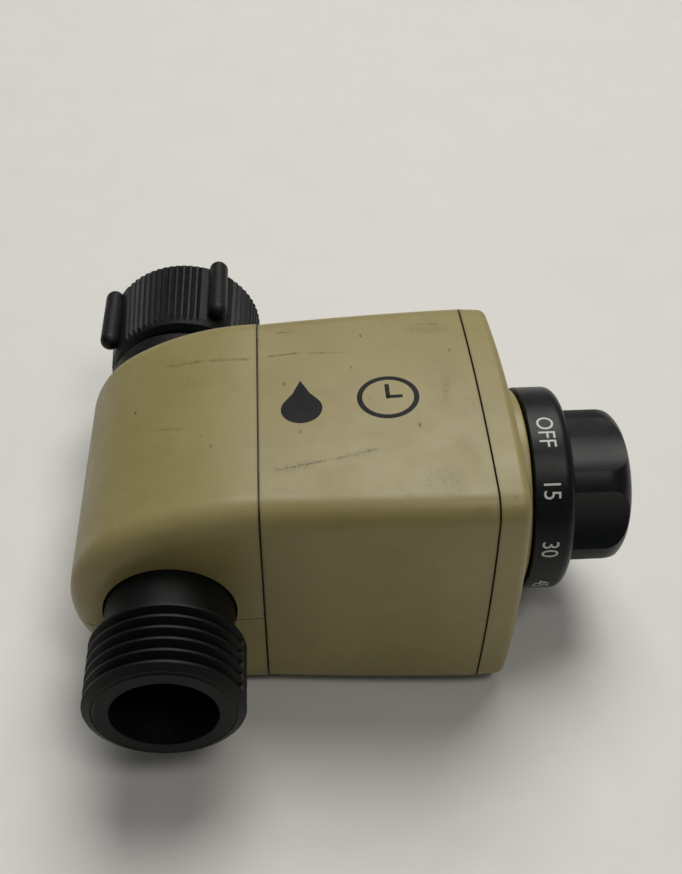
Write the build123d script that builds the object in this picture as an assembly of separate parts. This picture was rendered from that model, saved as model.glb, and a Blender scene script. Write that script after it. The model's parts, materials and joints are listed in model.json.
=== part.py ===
from build123d import *

import math
import os

# A clockwork hose-end water timer. The design frame has the dial's axis on +X, the water's way along Y
# (inlet nut at +Y, outlet spigot at -Y) and the two axes crossing at the origin. At the end every piece is
# laid on its side, as it rests on a table. All sizes are millimetres, and all radii are radii.

# ---- case ----
WALL = 2.2
CORNER_R = 5.0
SEAM_GAP = 0.35               # open groove that shows between two case mouldings
REAR_SEAM_X = 16.5            # rear shells to middle casing
FRONT_SEAM_X = 56.0           # middle casing to front bezel
REAR_HALF_Y, REAR_HALF_Z, REAR_CROWN = 26.6, 23.7, 0.3
FRONT_HALF_Y, FRONT_HALF_Z, FRONT_CROWN = 27.8, 24.4, 1.8
SIDE_BOW = 0.15               # swell of the casing's sides half way between the seams
TONGUE_WALL = 1.2             # locating lips that reach across the seams
TONGUE_LENGTH = 3.0
LIP_CLEARANCE = 0.25

# ---- rear shells ----
SHELL_REAR_X = -17.65
SHELL_TIP_R = 20.0            # radius of the rounded rear end
SHELL_HALF_Y = 26.8
SHELL_HALF_Z = 23.9
PARTING_Z = -3.0              # the two halves meet a little below the pipe's axis
PARTING_GAP = 0.2
NECK_CLEARANCE = 0.4

# ---- front bezel ----
BEZEL_DEPTH = 6.4
BEZEL_APEX_X = FRONT_SEAM_X + BEZEL_DEPTH   # highest point of the domed face
BEZEL_DOME_R = 600.0
BEZEL_DRAFT = 0.5
BEZEL_EDGE_R = 1.6
BOSS_R = 19.2
BOSS_HEIGHT = 2.7
BOSS_FRONT_X = BEZEL_APEX_X + BOSS_HEIGHT
BOSS_FOOT_R = 0.8

# ---- dial and knob ----
DIAL_R = 19.6
DIAL_GAP = 0.3
DIAL_REAR_X = BOSS_FRONT_X + DIAL_GAP
DIAL_THICKNESS = 7.7
DIAL_FRONT_X = DIAL_REAR_X + DIAL_THICKNESS
DIAL_EDGE_R = 2.0
DIAL_WALL = 2.2
KNOB_R = 15.5
KNOB_HEIGHT = 12.5
KNOB_FRONT_X = DIAL_FRONT_X + KNOB_HEIGHT
KNOB_ROUND = 5.4
KNOB_FLUTES = 6
KNOB_RIDGE_ANGLE = 11.5       # one ridge's angle from +Y towards +Z, with the dial at OFF
FLUTE_R = 15.0
FLUTE_DEPTH = 2.5             # below the knob's circle, half way between two ridges
DIAL_HUB_R = 5.0
DIAL_TRAVEL = 270.0           # degrees from OFF to the end stop

# ---- water way ----
PIPE_R = 11.35                # smooth pipe between the case and the outlet thread
OUTLET_LIP_Y = -47.6
OUTLET_BORE_R = 9.0
OUTLET_FACE_R = 11.3          # flat end face, inside the lead chamfer
THREAD_R = 13.4               # crests of the 3/4 inch garden hose thread
THREAD_ROOT_R = 12.05
THREAD_PITCH = 2.209          # 11.5 turns to the inch
THREAD_CREST = 0.45
THREAD_RIDGES = 6
FIRST_RIDGE_Y = -46.4
LAND_HALF_WIDTH = 3.2         # smooth lands along the mould's parting line
COLLAR_R = 15.2
COLLAR_Y = (28.6, 33.3)
CLAMP_FLANGE_R = 13.2         # inside the rear shells' walls, so they hold the pipe
CLAMP_FLANGE_WALL = 2.0
SPIGOT_R = 10.6
SPIGOT_END_Y = 41.0
INLET_BORE_R = 8.5
PASSAGE_R = 4.4
CHAMBER_R = 8.0
CHAMBER_FLOOR_X = 4.0
SEAT_HOLE_R = 4.5
SEAT_RIM_R = 5.5
SEAT_RIM_HEIGHT = 0.8
BRANCH_R = 11.0
FLANGE_R = 14.5
FLANGE_X = (12.0, 14.5)

# ---- swivel nut ----
NUT_Y = (35.8, 55.4)
NUT_NEAR_R, NUT_FAR_R = 15.4, 16.4
NUT_EDGE_R = 2.0
RIB_DEPTH = 0.45
RIBS_PER_QUARTER = 13
RIB_ARC = 66.0                # degrees of each quarter that carry ribs
LUG_COUNT = 4
LUG_ANGLE = 62.0              # first lug's angle from +X towards +Z
LUG_R = 2.0
LUG_Y = (37.8, 56.0)
LUG_CENTRE_R = 17.2
NUT_FLOOR = 2.5
NUT_THREAD_R = 12.1           # crests of the nut's inner thread
NUT_GROOVE_R = 13.5
NUT_THREADS = 4
NUT_RECESS_END_Y = 44.4       # the washer's room behind the thread
SWIVEL_CLEARANCE = 0.3

# ---- valve ----
STEM_R = 2.0
STEM_CLEARANCE = 0.06
STEM_HEAD_R = 3.4
STEM_HEAD_X = (24.5, 25.5)
POPPET_R = 6.6
SEAL_R = 6.4
SEAL_THICKNESS = 1.75
POPPET_THICKNESS = 1.4
SEAT_GAP = 0.05
BONNET_THICKNESS = 2.6
BONNET_PLUG_R = 7.7
BONNET_PLUG_X = 12.5
GLAND_R = 4.4
GLAND_END_X = 21.2
BONNET_SCREW_PCR = 12.0
SPRING_R = 4.5
SPRING_WIRE_R = 0.25
SPRING_TURNS = 2.5

# ---- lift lever ----
LEVER_X, LEVER_Z = 22.5, 10.0
LEVER_PIN_R = 1.2
LEVER_HUB_R = 2.6
LEVER_HALF_WIDTH = 3.1
PRONG_WIDTH = 0.8
EAR_CLEARANCE = 0.2
EAR_THICKNESS = 2.0
FOLLOWER_R = 1.0
FOLLOWER_X = 30.0
LEVER_SWING = 14.0            # degrees from closed to fully open

# ---- cam ----
CAM_BASE_R = 7.0
CAM_X = (29.0, 31.0)
CAM_GAP = 0.15
FOLLOWER_Z = CAM_BASE_R + CAM_GAP + FOLLOWER_R
CAM_RISE = ((FOLLOWER_X - LEVER_X) * math.sin(math.radians(LEVER_SWING))
            + (LEVER_Z - FOLLOWER_Z) * (1 - math.cos(math.radians(LEVER_SWING))))
VALVE_LIFT = LEVER_Z * math.sin(math.radians(LEVER_SWING))

# ---- clockwork ----
BACK_PLATE_X = (33.0, 34.2)
FRONT_PLATE_X = (FRONT_SEAM_X - 2.0, FRONT_SEAM_X - 0.8)
PLATE_HALF_Y, PLATE_HALF_Z = 23.2, 20.2
ARBOR_R = 2.5                 # dial arbor between the plates
ARBOR_TAIL_R = 2.0
ARBOR_TAIL_X = 28.4
ARBOR_FRONT_X = DIAL_FRONT_X + 1.4
PIVOT_R = 0.6                 # the train's steel arbors
PIVOT_CLEARANCE = 0.05
MODULE = 0.4
PRESSURE_ANGLE = 25.0
BACKLASH = 0.1
WHEEL_ADDENDUM, PINION_ADDENDUM, DEDENDUM = 0.7, 0.9, 1.3   # in modules
GREAT_TEETH, SECOND_PINION = 60, 10
SECOND_TEETH, THIRD_PINION = 40, 10
THIRD_TEETH, ESCAPE_PINION = 36, 9
GREAT_X = (36.0, 37.4)
SECOND_X = (38.6, 39.6)
THIRD_X = (40.8, 41.8)
ESCAPE_X = (43.4, 44.4)
SECOND_DIRECTION, THIRD_DIRECTION, ESCAPE_DIRECTION = 125.0, 215.0, 265.0   # degrees, arbor to arbor
ESCAPE_TEETH = 12
ESCAPE_R, ESCAPE_ROOT_R = 6.0, 4.6
VERGE_DIRECTION, VERGE_DISTANCE = 300.0, 7.6
VERGE_SPREAD = 45.0
VERGE_PIN_R = 0.35
VERGE_PIN_GAP = 0.15
VERGE_SWING = 4.0
BARREL_R, BARREL_WALL = 9.0, 0.6
BARREL_X = (45.2, FRONT_PLATE_X[0] - 1.0)
MAINSPRING_TURNS = 6
MAINSPRING_THICKNESS = 0.3
MAINSPRING_R = (3.0, 8.2)
PILLAR_R = 1.6
PILLAR_PLACES = [(8.0, 15.0), (17.0, -9.0), (-4.0, -15.5)]
LUG_BOSS_PLACES = [(4.0, 19.3), (4.0, -19.3)]

# ---- fasteners ----
CASE_SCREW_Y, CASE_SCREW_Z = 20.8, 17.9
CASE_SCREW_R = 1.3
CASE_SCREW_HEAD_R = 2.6
CASE_SCREW_X = (6.0, FRONT_SEAM_X - 6.0)
CASE_BOSS_R = 3.0
SMALL_SCREW_R = 1.0
SMALL_HEAD_R = 1.9
SMALL_HEAD_HEIGHT = 1.2
SCREW_CLEARANCE = 0.25

TINY = 0.01


# ---------------------------------------------------------------- helpers
def across(x):
    """The plane that crosses the dial's axis at x, with its own x along Y and its own y along Z."""
    return Plane(origin=(x, 0, 0), x_dir=(0, 1, 0), z_dir=(1, 0, 0))


def rod_x(x0, x1, radius, y=0.0, z=0.0):
    """A cylinder along X."""
    return extrude(across(x0) * Pos(y, z) * Circle(radius), amount=x1 - x0)


def ring_x(x0, x1, outer, inner, y=0.0, z=0.0):
    return rod_x(x0, x1, outer, y, z) - rod_x(x0 - 1, x1 + 1, inner, y, z)


def rod_y(y0, y1, radius, x=0.0, z=0.0):
    """A cylinder along Y."""
    plane = Plane(origin=(0, y0, 0), x_dir=(1, 0, 0), z_dir=(0, 1, 0))
    return extrude(plane * Pos(x, -z) * Circle(radius), amount=y1 - y0)


def block(x, y, z):
    """A box between the low and high limits given for each axis."""
    size = [x[1] - x[0], y[1] - y[0], z[1] - z[0]]
    centre = Pos((x[0] + x[1]) / 2, (y[0] + y[1]) / 2, (z[0] + z[1]) / 2)
    return centre * Box(*size)


def turned_y(points):
    """A solid turned about the Y axis from its half outline, given as (radius, y)."""
    outline = make_face(Polyline(*points, close=True))
    return revolve(outline, axis=Axis.Y)


def polar(radius, degrees):
    return (radius * math.cos(math.radians(degrees)), radius * math.sin(math.radians(degrees)))


def four(y, z):
    return [(sy * y, sz * z) for sy in (1, -1) for sz in (1, -1)]


# ---------------------------------------------------------------- case
def pillow(x, inset=0.0):
    """The casing's crowned square section at x, drawn in by inset."""
    t = (x - REAR_SEAM_X) / (FRONT_SEAM_X - REAR_SEAM_X)
    bow = SIDE_BOW * 4 * t * (1 - t) if 0 < t < 1 else 0.0
    t = min(max(t, 0.0), 1.0)
    y = REAR_HALF_Y + (FRONT_HALF_Y - REAR_HALF_Y) * t + bow - inset
    z = REAR_HALF_Z + (FRONT_HALF_Z - REAR_HALF_Z) * t + bow - inset
    crown = REAR_CROWN + (FRONT_CROWN - REAR_CROWN) * t
    outline = Curve() + [
        ThreePointArc((y, -z), (y + crown, 0), (y, z)),
        ThreePointArc((y, z), (0, z + crown), (-y, z)),
        ThreePointArc((-y, z), (-y - crown, 0), (-y, -z)),
        ThreePointArc((-y, -z), (0, -z - crown), (y, -z)),
    ]
    face = make_face(outline)
    return across(x) * fillet(face.vertices(), max(CORNER_R - inset, 1.0))


def pillow_solid(x0, x1, inset=0.0):
    return loft([pillow(x0, inset), pillow((x0 + x1) / 2, inset), pillow(x1, inset)])


def tongue(x0, x1, at):
    """A locating lip with the section that the casing has at the seam, inside the neighbour's wall."""
    inset = WALL + LIP_CLEARANCE
    outer = extrude(across(x0) * across(at).location.inverse() * pillow(at, inset), amount=x1 - x0)
    inner = extrude(
        across(x0 - 1) * across(at).location.inverse() * pillow(at, inset + TONGUE_WALL),
        amount=x1 - x0 + 2,
    )
    return outer - inner


def tongue_root(x0, at):
    """The step that joins a locating lip to its own wall."""
    outer = extrude(across(x0) * across(at).location.inverse() * pillow(at, WALL - 0.2), amount=TONGUE_WALL)
    inner = extrude(
        across(x0 - 1) * across(at).location.inverse()
        * pillow(at, WALL + LIP_CLEARANCE + TONGUE_WALL),
        amount=TONGUE_WALL + 2,
    )
    return outer - inner


def middle_casing():
    x0 = REAR_SEAM_X + SEAM_GAP / 2
    x1 = FRONT_SEAM_X - SEAM_GAP / 2
    hollow = pillow_solid(x0 - 1, x1 + 1, WALL)
    case = pillow_solid(x0, x1) - hollow
    case += tongue(REAR_SEAM_X - TONGUE_LENGTH, x0 + TINY, REAR_SEAM_X) + tongue_root(x0, REAR_SEAM_X)
    space = pillow_solid(x0, x1, WALL / 2)
    for y, z in four(CASE_SCREW_Y, CASE_SCREW_Z):
        tube = rod_x(REAR_SEAM_X, CASE_SCREW_X[1], CASE_BOSS_R, y, z) & space
        case = case + tube - rod_x(0, CASE_SCREW_X[1] + 5, CASE_SCREW_R + SCREW_CLEARANCE, y, z)
    for y, z in LUG_BOSS_PLACES:
        side = math.copysign(1, z)
        face_x = FRONT_PLATE_X[0] - 0.1
        foot = block((face_x - 9.9, face_x - 1.3), (y - 2.2, y + 2.2), sorted((z, side * 30))) & space
        case = case + foot + rod_x(face_x - 9.9, face_x, 2.2, y, z)
        case -= rod_x(face_x - 7.9, face_x + 5, SMALL_SCREW_R - 0.1, y, z)
    return case


def arch(inset=0.0):
    """The rear shells' side outline: a round tip that runs into two long arcs, level at the seam."""
    tip_r = SHELL_TIP_R - inset
    half_z = SHELL_HALF_Z - inset
    tip_x = SHELL_REAR_X + SHELL_TIP_R
    length = REAR_SEAM_X - tip_x
    turn = math.pi / 2 - 2 * math.atan((half_z - tip_r) / length)
    side_r = tip_r + length / math.cos(turn)
    join = (tip_x - tip_r * math.cos(turn), tip_r * math.sin(turn))
    middle = (math.pi / 2 + math.pi - turn) / 2
    half_way = (REAR_SEAM_X + side_r * math.cos(middle), half_z - side_r + side_r * math.sin(middle))
    outline = Curve() + [
        ThreePointArc((REAR_SEAM_X, half_z), half_way, join),
        ThreePointArc(join, (tip_x - tip_r, 0), (join[0], -join[1])),
        ThreePointArc((join[0], -join[1]), (half_way[0], -half_way[1]), (REAR_SEAM_X, -half_z)),
        Line((REAR_SEAM_X, -half_z), (REAR_SEAM_X, half_z)),
    ]
    return Plane.XZ * make_face(outline)


def arch_solid(inset=0.0):
    """The outline pulled across Y, with its two end edges rounded."""
    half_y = SHELL_HALF_Y - inset
    body = extrude(arch(inset), amount=half_y, both=True)
    ends = [
        e for e in body.edges()
        if abs(abs(e.center().Y) - half_y) < TINY and e.center().X < REAR_SEAM_X - TINY
    ]
    return fillet(ends, CORNER_R - inset)


def rear_shell(side):
    """The upper (side 1) or lower (side -1) half of the rear housing."""
    outer = arch_solid()
    shell = outer - arch_solid(WALL)
    for y, z in four(CASE_SCREW_Y, CASE_SCREW_Z):
        shell += rod_x(2.0, REAR_SEAM_X - TONGUE_LENGTH - 0.3, CASE_BOSS_R, y, z) & outer
        shell -= rod_x(4.0, 30, CASE_SCREW_R - 0.1, y, z)
    hole_r = PIPE_R + NECK_CLEARANCE
    shell -= rod_y(-40, 40, hole_r)
    shell -= block((REAR_SEAM_X - SEAM_GAP / 2, 40), (-40, 40), (-40, 40))
    keep = sorted((PARTING_Z + side * PARTING_GAP / 2, side * 40))
    return shell & block((-40, 40), (-40, 40), keep)


def front_bezel():
    x0 = FRONT_SEAM_X + SEAM_GAP / 2
    x1 = BEZEL_APEX_X + 3
    body = loft([pillow(x0), across(x1) * across(FRONT_SEAM_X).location.inverse()
                 * pillow(FRONT_SEAM_X, BEZEL_DRAFT)], ruled=True)
    body &= Pos(BEZEL_APEX_X - BEZEL_DOME_R, 0, 0) * Sphere(BEZEL_DOME_R)
    front = body.faces().sort_by(Axis.X)[-1]
    body = fillet(front.edges(), BEZEL_EDGE_R)
    hollow_x = BEZEL_APEX_X - 3.6
    hollow = extrude(across(x0 - 1) * across(FRONT_SEAM_X).location.inverse()
                     * pillow(FRONT_SEAM_X, WALL + BEZEL_DRAFT), amount=hollow_x - x0 + 1)
    boss = rod_x(hollow_x, BOSS_FRONT_X, BOSS_R)
    body = body + boss
    rings = [e for e in body.edges() if abs(e.length - 2 * math.pi * BOSS_R) < 0.1]
    body = fillet([e for e in rings if e.center().X < BOSS_FRONT_X - 1], BOSS_FOOT_R)
    body = fillet(body.edges().filter_by(GeomType.CIRCLE).sort_by(Axis.X)[-1], 0.5)
    body = body - hollow - rod_x(hollow_x - 1, BOSS_FRONT_X - WALL, BOSS_R - WALL)
    body += tongue(FRONT_SEAM_X - TONGUE_LENGTH, x0 + TINY, FRONT_SEAM_X)
    body += tongue_root(x0, FRONT_SEAM_X)
    body += rod_x(BOSS_FRONT_X - 5.0, BOSS_FRONT_X - WALL + TINY, 6.0)
    body -= rod_x(FRONT_SEAM_X - 10, KNOB_FRONT_X, ARBOR_R + STEM_CLEARANCE)
    body -= rod_x(BOSS_FRONT_X - 5.1, BOSS_FRONT_X - 3.2, ARBOR_R + 1.5)
    return body


# ---------------------------------------------------------------- dial
def dial_knob():
    """The numbered dial and its fluted grip, one moulding."""
    dial = rod_x(DIAL_REAR_X, DIAL_FRONT_X, DIAL_R)
    dial = fillet(dial.edges().sort_by(Axis.X)[-1], DIAL_EDGE_R)
    dial = fillet([e for e in dial.edges() if e.center().X < DIAL_REAR_X + TINY], 0.3)
    grip = rod_x(DIAL_FRONT_X - 1, KNOB_FRONT_X, KNOB_R)
    grip = fillet(grip.edges().sort_by(Axis.X)[-1], KNOB_ROUND)
    step = 360 / KNOB_FLUTES
    for k in range(KNOB_FLUTES):
        y, z = polar(KNOB_R - FLUTE_DEPTH + FLUTE_R, KNOB_RIDGE_ANGLE + step * (k + 0.5))
        grip -= rod_x(DIAL_FRONT_X, KNOB_FRONT_X + 1, FLUTE_R, y, z)
    body = dial + grip
    body -= rod_x(DIAL_REAR_X - 1, DIAL_FRONT_X - DIAL_WALL, DIAL_R - DIAL_WALL)
    body -= rod_x(DIAL_FRONT_X - DIAL_WALL - 1, KNOB_FRONT_X - 4.5, KNOB_R - FLUTE_DEPTH - 2.4)
    body += rod_x(DIAL_REAR_X + 0.4, KNOB_FRONT_X - 4.0, DIAL_HUB_R)
    body -= d_shaft(DIAL_REAR_X - 1, ARBOR_FRONT_X + 0.3, 0.03)
    return body


def d_shaft(x0, x1, extra=0.0):
    """The arbor's front end, with a flat that keys the dial."""
    flat = ARBOR_R - 0.8 + extra
    return rod_x(x0, x1, ARBOR_R + extra) & block((x0, x1), (-10, 10), (-10, flat))


def dial_arbor():
    body = rod_x(ARBOR_TAIL_X, BACK_PLATE_X[1] + 0.4, ARBOR_TAIL_R)
    body += rod_x(BACK_PLATE_X[1] + 0.3, DIAL_REAR_X, ARBOR_R)
    return body + d_shaft(DIAL_REAR_X - TINY, ARBOR_FRONT_X)


def valve_cam():
    """A disc whose radius grows evenly as the dial turns away from OFF."""
    def edge(degrees):
        share = min(max((degrees - 90) / DIAL_TRAVEL, 0.0), 1.0)
        return polar(CAM_BASE_R + CAM_RISE * share, degrees)
    full = 90 + DIAL_TRAVEL
    drop_end = 52.0
    rise = Spline([edge(90 + DIAL_TRAVEL * k / 18) for k in range(19)])
    hold = ThreePointArc(edge(full), edge(full + 7), edge(full + 14))
    fall = Line(edge(full + 14), polar(CAM_BASE_R, drop_end))
    base = ThreePointArc(polar(CAM_BASE_R, drop_end), polar(CAM_BASE_R, (drop_end + 90) / 2), edge(90))
    disc = make_face(Curve() + [rise, hold, fall, base])
    body = extrude(across(CAM_X[0]) * disc, amount=CAM_X[1] - CAM_X[0])
    body += rod_x(CAM_X[0], BACK_PLATE_X[0] - 0.3, 4.0)
    return body - rod_x(CAM_X[0] - 1, BACK_PLATE_X[0] + 1, ARBOR_TAIL_R + 0.02)


# ---------------------------------------------------------------- water way
def thread_rings(first_y, count, root_r, crest_r, inward=False):
    """Ridges of a 60 degree thread, one per pitch, each with a flat crest."""
    depth = abs(crest_r - root_r)
    half_foot = THREAD_CREST / 2 + depth * math.tan(math.radians(30)) * 0.98
    overlap = 0.3 if crest_r > root_r else -0.3
    rings = None
    for k in range(count):
        y = first_y + THREAD_PITCH * k
        ring = turned_y([
            (root_r - overlap, y - half_foot),
            (root_r, y - half_foot),
            (crest_r, y - THREAD_CREST / 2),
            (crest_r, y + THREAD_CREST / 2),
            (root_r, y + half_foot),
            (root_r - overlap, y + half_foot),
        ])
        rings = ring if rings is None else rings + ring
    return rings


def valve_body():
    """Outlet spigot, valve chamber and inlet spigot in one moulding."""
    lip = turned_y([
        (0, OUTLET_LIP_Y), (OUTLET_FACE_R, OUTLET_LIP_Y), (THREAD_ROOT_R, OUTLET_LIP_Y + 0.5),
        (THREAD_ROOT_R, -34.0), (PIPE_R, -33.6), (PIPE_R, 26.0), (0, 26.0),
    ])
    body = lip + thread_rings(FIRST_RIDGE_Y, THREAD_RIDGES, THREAD_ROOT_R, THREAD_R)
    last_ridge = FIRST_RIDGE_Y + THREAD_PITCH * (THREAD_RIDGES - 1) + THREAD_CREST / 2
    land = rod_y(FIRST_RIDGE_Y - THREAD_CREST / 2, last_ridge, THREAD_R - 0.05)
    body += land & block((-20, 20), (-60, 0), (-LAND_HALF_WIDTH, LAND_HALF_WIDTH))
    collar = rod_y(COLLAR_Y[0], COLLAR_Y[1], COLLAR_R)
    collar = fillet(collar.edges(), 1.1)
    body += collar + rod_y(20, SPIGOT_END_Y, SPIGOT_R)
    inner_face = SHELL_HALF_Y - WALL - 0.2
    for y in (-inner_face, inner_face - CLAMP_FLANGE_WALL):
        body += rod_y(y, y + CLAMP_FLANGE_WALL, CLAMP_FLANGE_R)
    body += rod_x(0, FLANGE_X[1], BRANCH_R) + rod_x(FLANGE_X[0], FLANGE_X[1], FLANGE_R)
    groove_y = NUT_Y[0] + NUT_FLOOR + 0.4
    body -= rod_y(groove_y, groove_y + 1.5, 20) - rod_y(groove_y - 1, groove_y + 3, SPIGOT_R - 0.8)
    # outlet passage below the seat, inlet passage into the chamber
    body -= rod_y(OUTLET_LIP_Y - 1, -22, OUTLET_BORE_R)
    body -= rod_y(-23, 4.4, PASSAGE_R, x=-4.0)
    body -= rod_x(-4.0, CHAMBER_FLOOR_X + 1, SEAT_HOLE_R)
    body -= rod_y(22, SPIGOT_END_Y + 1, INLET_BORE_R)
    body -= rod_y(6, 23, PASSAGE_R - 0.6, x=6.0)
    chamber = rod_x(CHAMBER_FLOOR_X, FLANGE_X[1] + 1, CHAMBER_R)
    chamber -= ring_x(CHAMBER_FLOOR_X - 1, CHAMBER_FLOOR_X + SEAT_RIM_HEIGHT, SEAT_RIM_R, SEAT_HOLE_R)
    body -= chamber
    for k in range(4):
        y, z = polar(BONNET_SCREW_PCR, 45 + 90 * k)
        body -= rod_x(FLANGE_X[0] - 3, FLANGE_X[1] + 1, SMALL_SCREW_R - 0.1, y, z)
    return body


def valve_bonnet():
    x0 = FLANGE_X[1] + 0.05
    x1 = x0 + BONNET_THICKNESS
    body = rod_x(x0, x1, FLANGE_R) + rod_x(BONNET_PLUG_X, x0 + TINY, BONNET_PLUG_R)
    body += rod_x(x1 - TINY, GLAND_END_X, GLAND_R)
    inner = LEVER_HALF_WIDTH + EAR_CLEARANCE
    for side in (1, -1):
        y = sorted((side * inner, side * (inner + EAR_THICKNESS)))
        ear = block((x1 - 0.5, LEVER_X), y, (LEVER_Z - 4.5, LEVER_Z + 2.6))
        body += ear + rod_y(y[0], y[1], 2.6, LEVER_X, LEVER_Z)
    body -= rod_y(-10, 10, LEVER_PIN_R, LEVER_X, LEVER_Z)
    body -= rod_x(0, 40, STEM_R + STEM_CLEARANCE)
    body -= rod_x(GLAND_END_X - 2.0, GLAND_END_X + 1, STEM_R + 1.4)
    o_ring = ring_x(13.0, 14.2, BONNET_PLUG_R + 1, BONNET_PLUG_R - 0.9)
    body -= o_ring
    for k in range(4):
        y, z = polar(BONNET_SCREW_PCR, 45 + 90 * k)
        body -= rod_x(x0 - 1, x1 + 1, SMALL_SCREW_R + 0.15, y, z)
    return body


def bonnet_o_ring():
    ring = ring_x(13.05, 14.15, CHAMBER_R - 0.02, BONNET_PLUG_R - 0.88)
    return fillet(ring.edges(), 0.4)


def gland_seal():
    ring = ring_x(GLAND_END_X - 1.9, GLAND_END_X - 0.3, STEM_R + 1.35, STEM_R + 0.03)
    return fillet(ring.edges(), 0.4)


def bonnet_screws():
    seat = FLANGE_X[1] + 0.05 + BONNET_THICKNESS
    screws = []
    for k in range(4):
        y, z = polar(BONNET_SCREW_PCR, 45 + 90 * k)
        screw = rod_x(seat, seat + SMALL_HEAD_HEIGHT, SMALL_HEAD_R, y, z)
        screw += rod_x(FLANGE_X[0] - 2.5, seat + TINY, SMALL_SCREW_R - 0.12, y, z)
        screws.append(screw)
    return Compound([s.solid() for s in screws])


def seal_x():
    return CHAMBER_FLOOR_X + SEAT_RIM_HEIGHT + SEAT_GAP


def seat_seal():
    x = seal_x()
    return ring_x(x, x + SEAL_THICKNESS, SEAL_R, 1.2)


def poppet():
    x = seal_x() + SEAL_THICKNESS + TINY
    body = rod_x(x, x + POPPET_THICKNESS, POPPET_R) + rod_x(x, x + POPPET_THICKNESS + 0.8, 3.4)
    return body - rod_x(x - 1, x + 5, STEM_R + 0.02)


def valve_stem():
    x = seal_x() + SEAL_THICKNESS + TINY
    body = rod_x(x + TINY, STEM_HEAD_X[1], STEM_R) + rod_x(seal_x() - 0.2, x + 1, 1.15)
    body += rod_x(seal_x() - 0.9, seal_x() - 0.15, 2.2)
    return body + rod_x(STEM_HEAD_X[0], STEM_HEAD_X[1], STEM_HEAD_R)


def valve_spring():
    """The coil that holds the poppet on its seat, at its closed length."""
    x0 = seal_x() + SEAL_THICKNESS + POPPET_THICKNESS + SPRING_WIRE_R + 0.1
    x1 = BONNET_PLUG_X - SPRING_WIRE_R - 0.1
    pitch = (x1 - x0) / SPRING_TURNS
    path = Helix(pitch=pitch, height=x1 - x0, radius=SPRING_R, center=(x0, 0, 0), direction=(1, 0, 0))
    wire = Plane(origin=path @ 0, z_dir=path % 0) * Circle(SPRING_WIRE_R)
    return sweep(wire, path=path)


def nut_retaining_ring():
    y = NUT_Y[0] + NUT_FLOOR + 0.45
    ring = rod_y(y, y + 1.4, SPIGOT_R + 1.5) - rod_y(y - 1, y + 3, SPIGOT_R - 0.75)
    return ring - block((-2.0, 2.0), (y - 1, y + 3), (-30, 0))


# ---------------------------------------------------------------- swivel nut
def ribbed_outline(radius):
    """The nut's section, a circle with a band of fine ribs half way between each pair of lugs."""
    quarter = 360 / LUG_COUNT
    points = []
    for k in range(LUG_COUNT):
        start = LUG_ANGLE + quarter * k
        smooth = (quarter - RIB_ARC) / 2
        points += [polar(radius, start - smooth + smooth * j / 2) for j in range(5)]
        step = RIB_ARC / RIBS_PER_QUARTER
        for j in range(RIBS_PER_QUARTER):
            a = start + smooth + step * j
            points += [polar(radius - RIB_DEPTH, a + step * 0.25), polar(radius, a + step * 0.55),
                       polar(radius, a + step * 0.8)]
    return Polyline(*points, close=True)


def swivel_nut():
    def level(y):
        return Plane(origin=(0, y, 0), x_dir=(1, 0, 0), z_dir=(0, -1, 0))
    near = level(NUT_Y[0]) * make_face(ribbed_outline(NUT_NEAR_R))
    far = level(NUT_Y[1]) * make_face(ribbed_outline(NUT_FAR_R))
    body = loft([near, far], ruled=True)
    e = NUT_EDGE_R
    body &= turned_y([
        (0, NUT_Y[0]), (NUT_NEAR_R - e, NUT_Y[0]), (NUT_NEAR_R - 0.3 * e, NUT_Y[0] + 0.3 * e),
        (NUT_NEAR_R + 0.1, NUT_Y[0] + e), (NUT_FAR_R + 0.05, NUT_Y[1] - 0.4 * e),
        (NUT_FAR_R - 0.4 * e, NUT_Y[1]), (0, NUT_Y[1]),
    ])
    for k in range(LUG_COUNT):
        x, z = polar(LUG_CENTRE_R, LUG_ANGLE + 360 / LUG_COUNT * k)
        low, high = LUG_Y[0] + LUG_R, LUG_Y[1] - LUG_R
        body += rod_y(low, high, LUG_R, x, z)
        body += Pos(x, low, z) * Sphere(LUG_R) + Pos(x, high, z) * Sphere(LUG_R)
    floor = NUT_Y[0] + NUT_FLOOR
    body -= rod_y(NUT_Y[0] - 1, floor + 1, SPIGOT_R + SWIVEL_CLEARANCE)
    body -= rod_y(floor, NUT_Y[1] + 1, NUT_THREAD_R)
    body -= rod_y(floor, NUT_RECESS_END_Y, NUT_GROOVE_R)
    first = NUT_Y[1] - 1.3
    for k in range(NUT_THREADS):
        y = first - THREAD_PITCH * (k + 0.5)
        body -= turned_y([
            (NUT_THREAD_R - 0.3, y - 0.9), (NUT_THREAD_R, y - 0.9), (NUT_GROOVE_R, y - 0.15),
            (NUT_GROOVE_R, y + 0.15), (NUT_THREAD_R, y + 0.9), (NUT_THREAD_R - 0.3, y + 0.9),
        ])
    return body


def inlet_washer():
    y = SPIGOT_END_Y + 0.1
    ring = rod_y(y, y + 3.0, NUT_THREAD_R - 0.15) - rod_y(y - 1, y + 4, INLET_BORE_R - 0.4)
    return fillet(ring.edges(), 0.4)


def inlet_filter():
    """A cone of fine mesh with a moulded rim, standing in the inlet bore."""
    y = SPIGOT_END_Y + 1.8
    r = INLET_BORE_R - 0.5
    return turned_y([
        (r, y), (r, y - 1.2), (r - 0.8, y - 2.4), (1.6, y - 9.6), (0, y - 9.6),
        (0, y - 8.9), (1.2, y - 8.9), (r - 1.6, y),
    ])


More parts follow.
